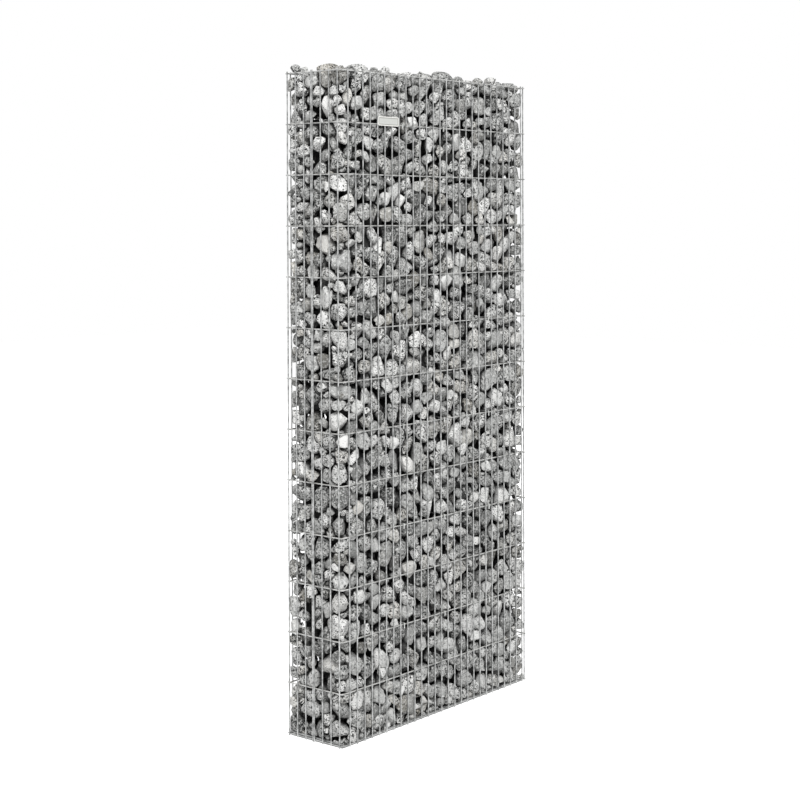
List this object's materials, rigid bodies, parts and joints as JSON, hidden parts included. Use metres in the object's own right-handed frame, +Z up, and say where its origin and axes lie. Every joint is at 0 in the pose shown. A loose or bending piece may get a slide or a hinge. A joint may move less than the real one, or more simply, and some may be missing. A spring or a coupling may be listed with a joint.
{
  "type": "gabion wall",
  "caption": "Tall, narrow free-standing wall of loose grey stones held in a box of welded wire mesh, open at the top, with spacer ties across the fill.",
  "frame": {"origin": "middle of the footprint, on the ground that the upright wires stand on", "axes": "+Z up, +X along the wall from the bent corner, front face with the plate towards -Y"},
  "size_m": [0.9998, 0.2416, 2.1555],
  "materials": {
    "galvanised_wire": "dull zinc-aluminium coated wire with welded crossings",
    "tie_wire": "dull zinc-aluminium coated wire",
    "plate": "plain pressed sheet, blank",
    "stone": "loose tumbled grey granite stones, speckled, some pale and some dark"
  },
  "bodies": {
    "root": {"front_mesh": "galvanised_wire", "left_end_mesh": "galvanised_wire", "back_mesh": "galvanised_wire", "right_end_mesh": "galvanised_wire", "base_mesh": "galvanised_wire", "left_end_stiffener": "galvanised_wire", "right_end_stiffener": "galvanised_wire", "blank_plate": "plate", "stone_lift_1": "stone", "stone_lift_2": "stone", "stone_lift_3": "stone", "stone_lift_4": "stone", "stone_lift_5": "stone", "stone_lift_6": "stone", "stone_lift_7": "stone", "spacer_ties_1": "tie_wire", "spacer_ties_2": "tie_wire", "spacer_ties_3": "tie_wire", "spacer_ties_4": "tie_wire", "spacer_ties_5": "tie_wire", "spacer_ties_6": "tie_wire"}
  },
  "joints": []
}
